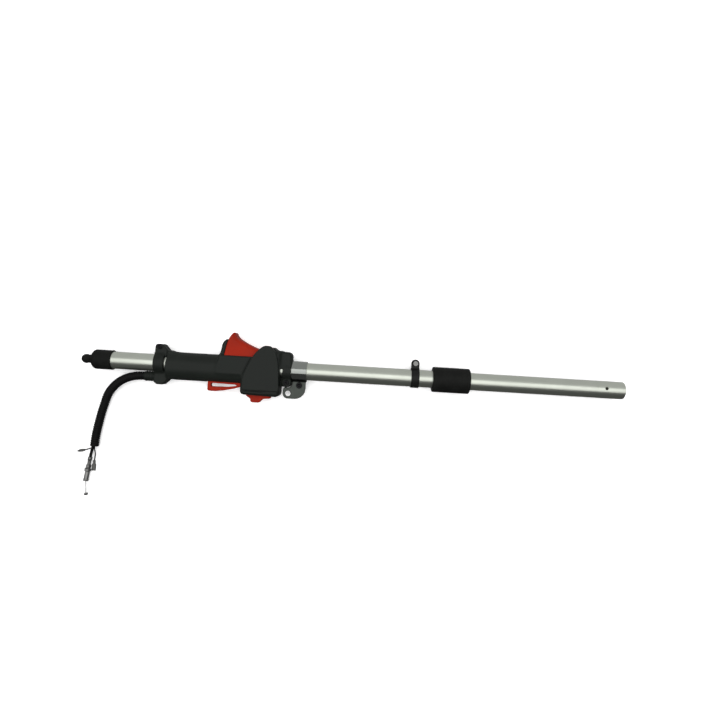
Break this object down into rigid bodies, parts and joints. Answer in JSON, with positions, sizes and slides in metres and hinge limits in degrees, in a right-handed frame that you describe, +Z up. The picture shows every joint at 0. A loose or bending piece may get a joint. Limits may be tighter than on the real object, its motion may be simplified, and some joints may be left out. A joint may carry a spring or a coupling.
{
  "type": "pole tool upper shaft",
  "caption": "Aluminium drive tube with throttle handle, hanger, stop clamp, sleeve and control cables for a petrol pole tool.",
  "frame": {"origin": "centre of the drive tube's tool end, on the tube's axis", "axes": "+X out of the tool end along the tube, +Y towards the throttle trigger's side, +Z up from the flat surface that the handle's back lies on"},
  "size_m": [0.8889, 0.2829, 0.0455],
  "materials": {
    "tube_aluminium": "satin, drawn along its length",
    "shaft_steel": "oiled ground steel",
    "liner_bronze": "sintered bronze",
    "black_rubber": "matt moulded rubber",
    "handle_plastic": "fine moulded texture, charcoal",
    "clip_plastic": "satin black",
    "red_plastic": "satin red-orange",
    "hanger_steel": "bright zinc plated, polished band",
    "zinc_steel": "zinc plated",
    "black_steel": "black oxide",
    "spring_steel": "drawn wire",
    "contact_brass": "bright",
    "cord_black": "black polyethylene and PVC",
    "terminal_grey": "tinned, dull"
  },
  "bodies": {
    "pole": {"drive_tube": "tube_aluminium", "shaft_liners": "liner_bronze", "shaft_bushes": "black_rubber", "rubber_sleeve": "black_rubber", "stop_clamp": "clip_plastic", "stop_clamp_screw": "zinc_steel", "stop_clamp_nut": "zinc_steel", "hanger_bracket": "hanger_steel", "hanger_bolt": "black_steel", "hanger_nut": "zinc_steel", "handle_shell_front": "handle_plastic", "handle_shell_back": "handle_plastic", "linkage_cover": "handle_plastic", "clamp_screws": "black_steel", "clamp_nuts": "zinc_steel", "shell_screws": "black_steel", "trigger_pin": "zinc_steel", "safety_pin": "zinc_steel", "rocker_pin": "zinc_steel", "switch_housing": "clip_plastic", "switch_contacts": "contact_brass", "cable_stop": "zinc_steel", "throttle_cable_held": "cord_black", "stop_wires_held": "cord_black", "conduit_collar": "handle_plastic", "conduit": "cord_black", "throttle_cable_tail": "cord_black", "stop_wire_a": "cord_black", "stop_wire_b": "cord_black", "bullet_terminal": "terminal_grey", "spade_terminal": "terminal_grey", "cable_adjuster": "zinc_steel", "adjuster_nuts": "zinc_steel"},
    "trigger": {"throttle_trigger": "red_plastic", "trigger_spring": "spring_steel"},
    "lever": {"safety_lever": "red_plastic", "safety_spring": "spring_steel"},
    "rocker": {"stop_rocker": "red_plastic"},
    "shaft": {"drive_shaft": "shaft_steel"},
    "end_cap": {"engine_end_cap": "black_rubber"},
    "front_wire": {"throttle_wire_front": "spring_steel", "front_nipple": "zinc_steel"},
    "tail_wire": {"throttle_wire_tail": "spring_steel", "tail_nipple": "zinc_steel"}
  },
  "joints": [
    {"name": "trigger_pull", "type": "hinge", "parent": "pole", "child": "trigger", "pos_m": [-0.579, 0.0275, 0], "axis": [0, 0, 1], "range_deg": [0, 15], "stiffness_Nm_per_rad": 0.3, "springref_deg": -22.92},
    {"name": "safety_press", "type": "hinge", "parent": "pole", "child": "lever", "pos_m": [-0.613, -0.024, 0], "axis": [0, 0, -1], "range_deg": [0, 6], "stiffness_Nm_per_rad": 0.2, "springref_deg": -17.19},
    {"name": "stop_switch", "type": "hinge", "parent": "pole", "child": "rocker", "pos_m": [-0.5915, -0.0355, 0], "axis": [0, 0, 1], "range_deg": [0, 10]},
    {"name": "shaft_spin", "type": "hinge", "parent": "pole", "child": "shaft", "pos_m": [-0.4, 0, 0], "axis": [1, 0, 0], "continuous": true},
    {"name": "cap_pull", "type": "slide", "parent": "pole", "child": "end_cap", "axis": [-1, 0, 0], "range_m": [0, 0.06]},
    {"name": "front_wire_pull", "type": "slide", "parent": "pole", "child": "front_wire", "axis": [1, 0, 0], "range_m": [0, 0.0102]},
    {"name": "tail_wire_pull", "type": "slide", "parent": "pole", "child": "tail_wire", "axis": [-0.0698, 0.9976, 0], "range_m": [0, 0.0102]}
  ],
  "couplings": [
    {"joint": "front_wire_pull", "follows": "trigger_pull", "m_per_rad": 0.038},
    {"joint": "tail_wire_pull", "follows": "trigger_pull", "m_per_rad": 0.038}
  ]
}
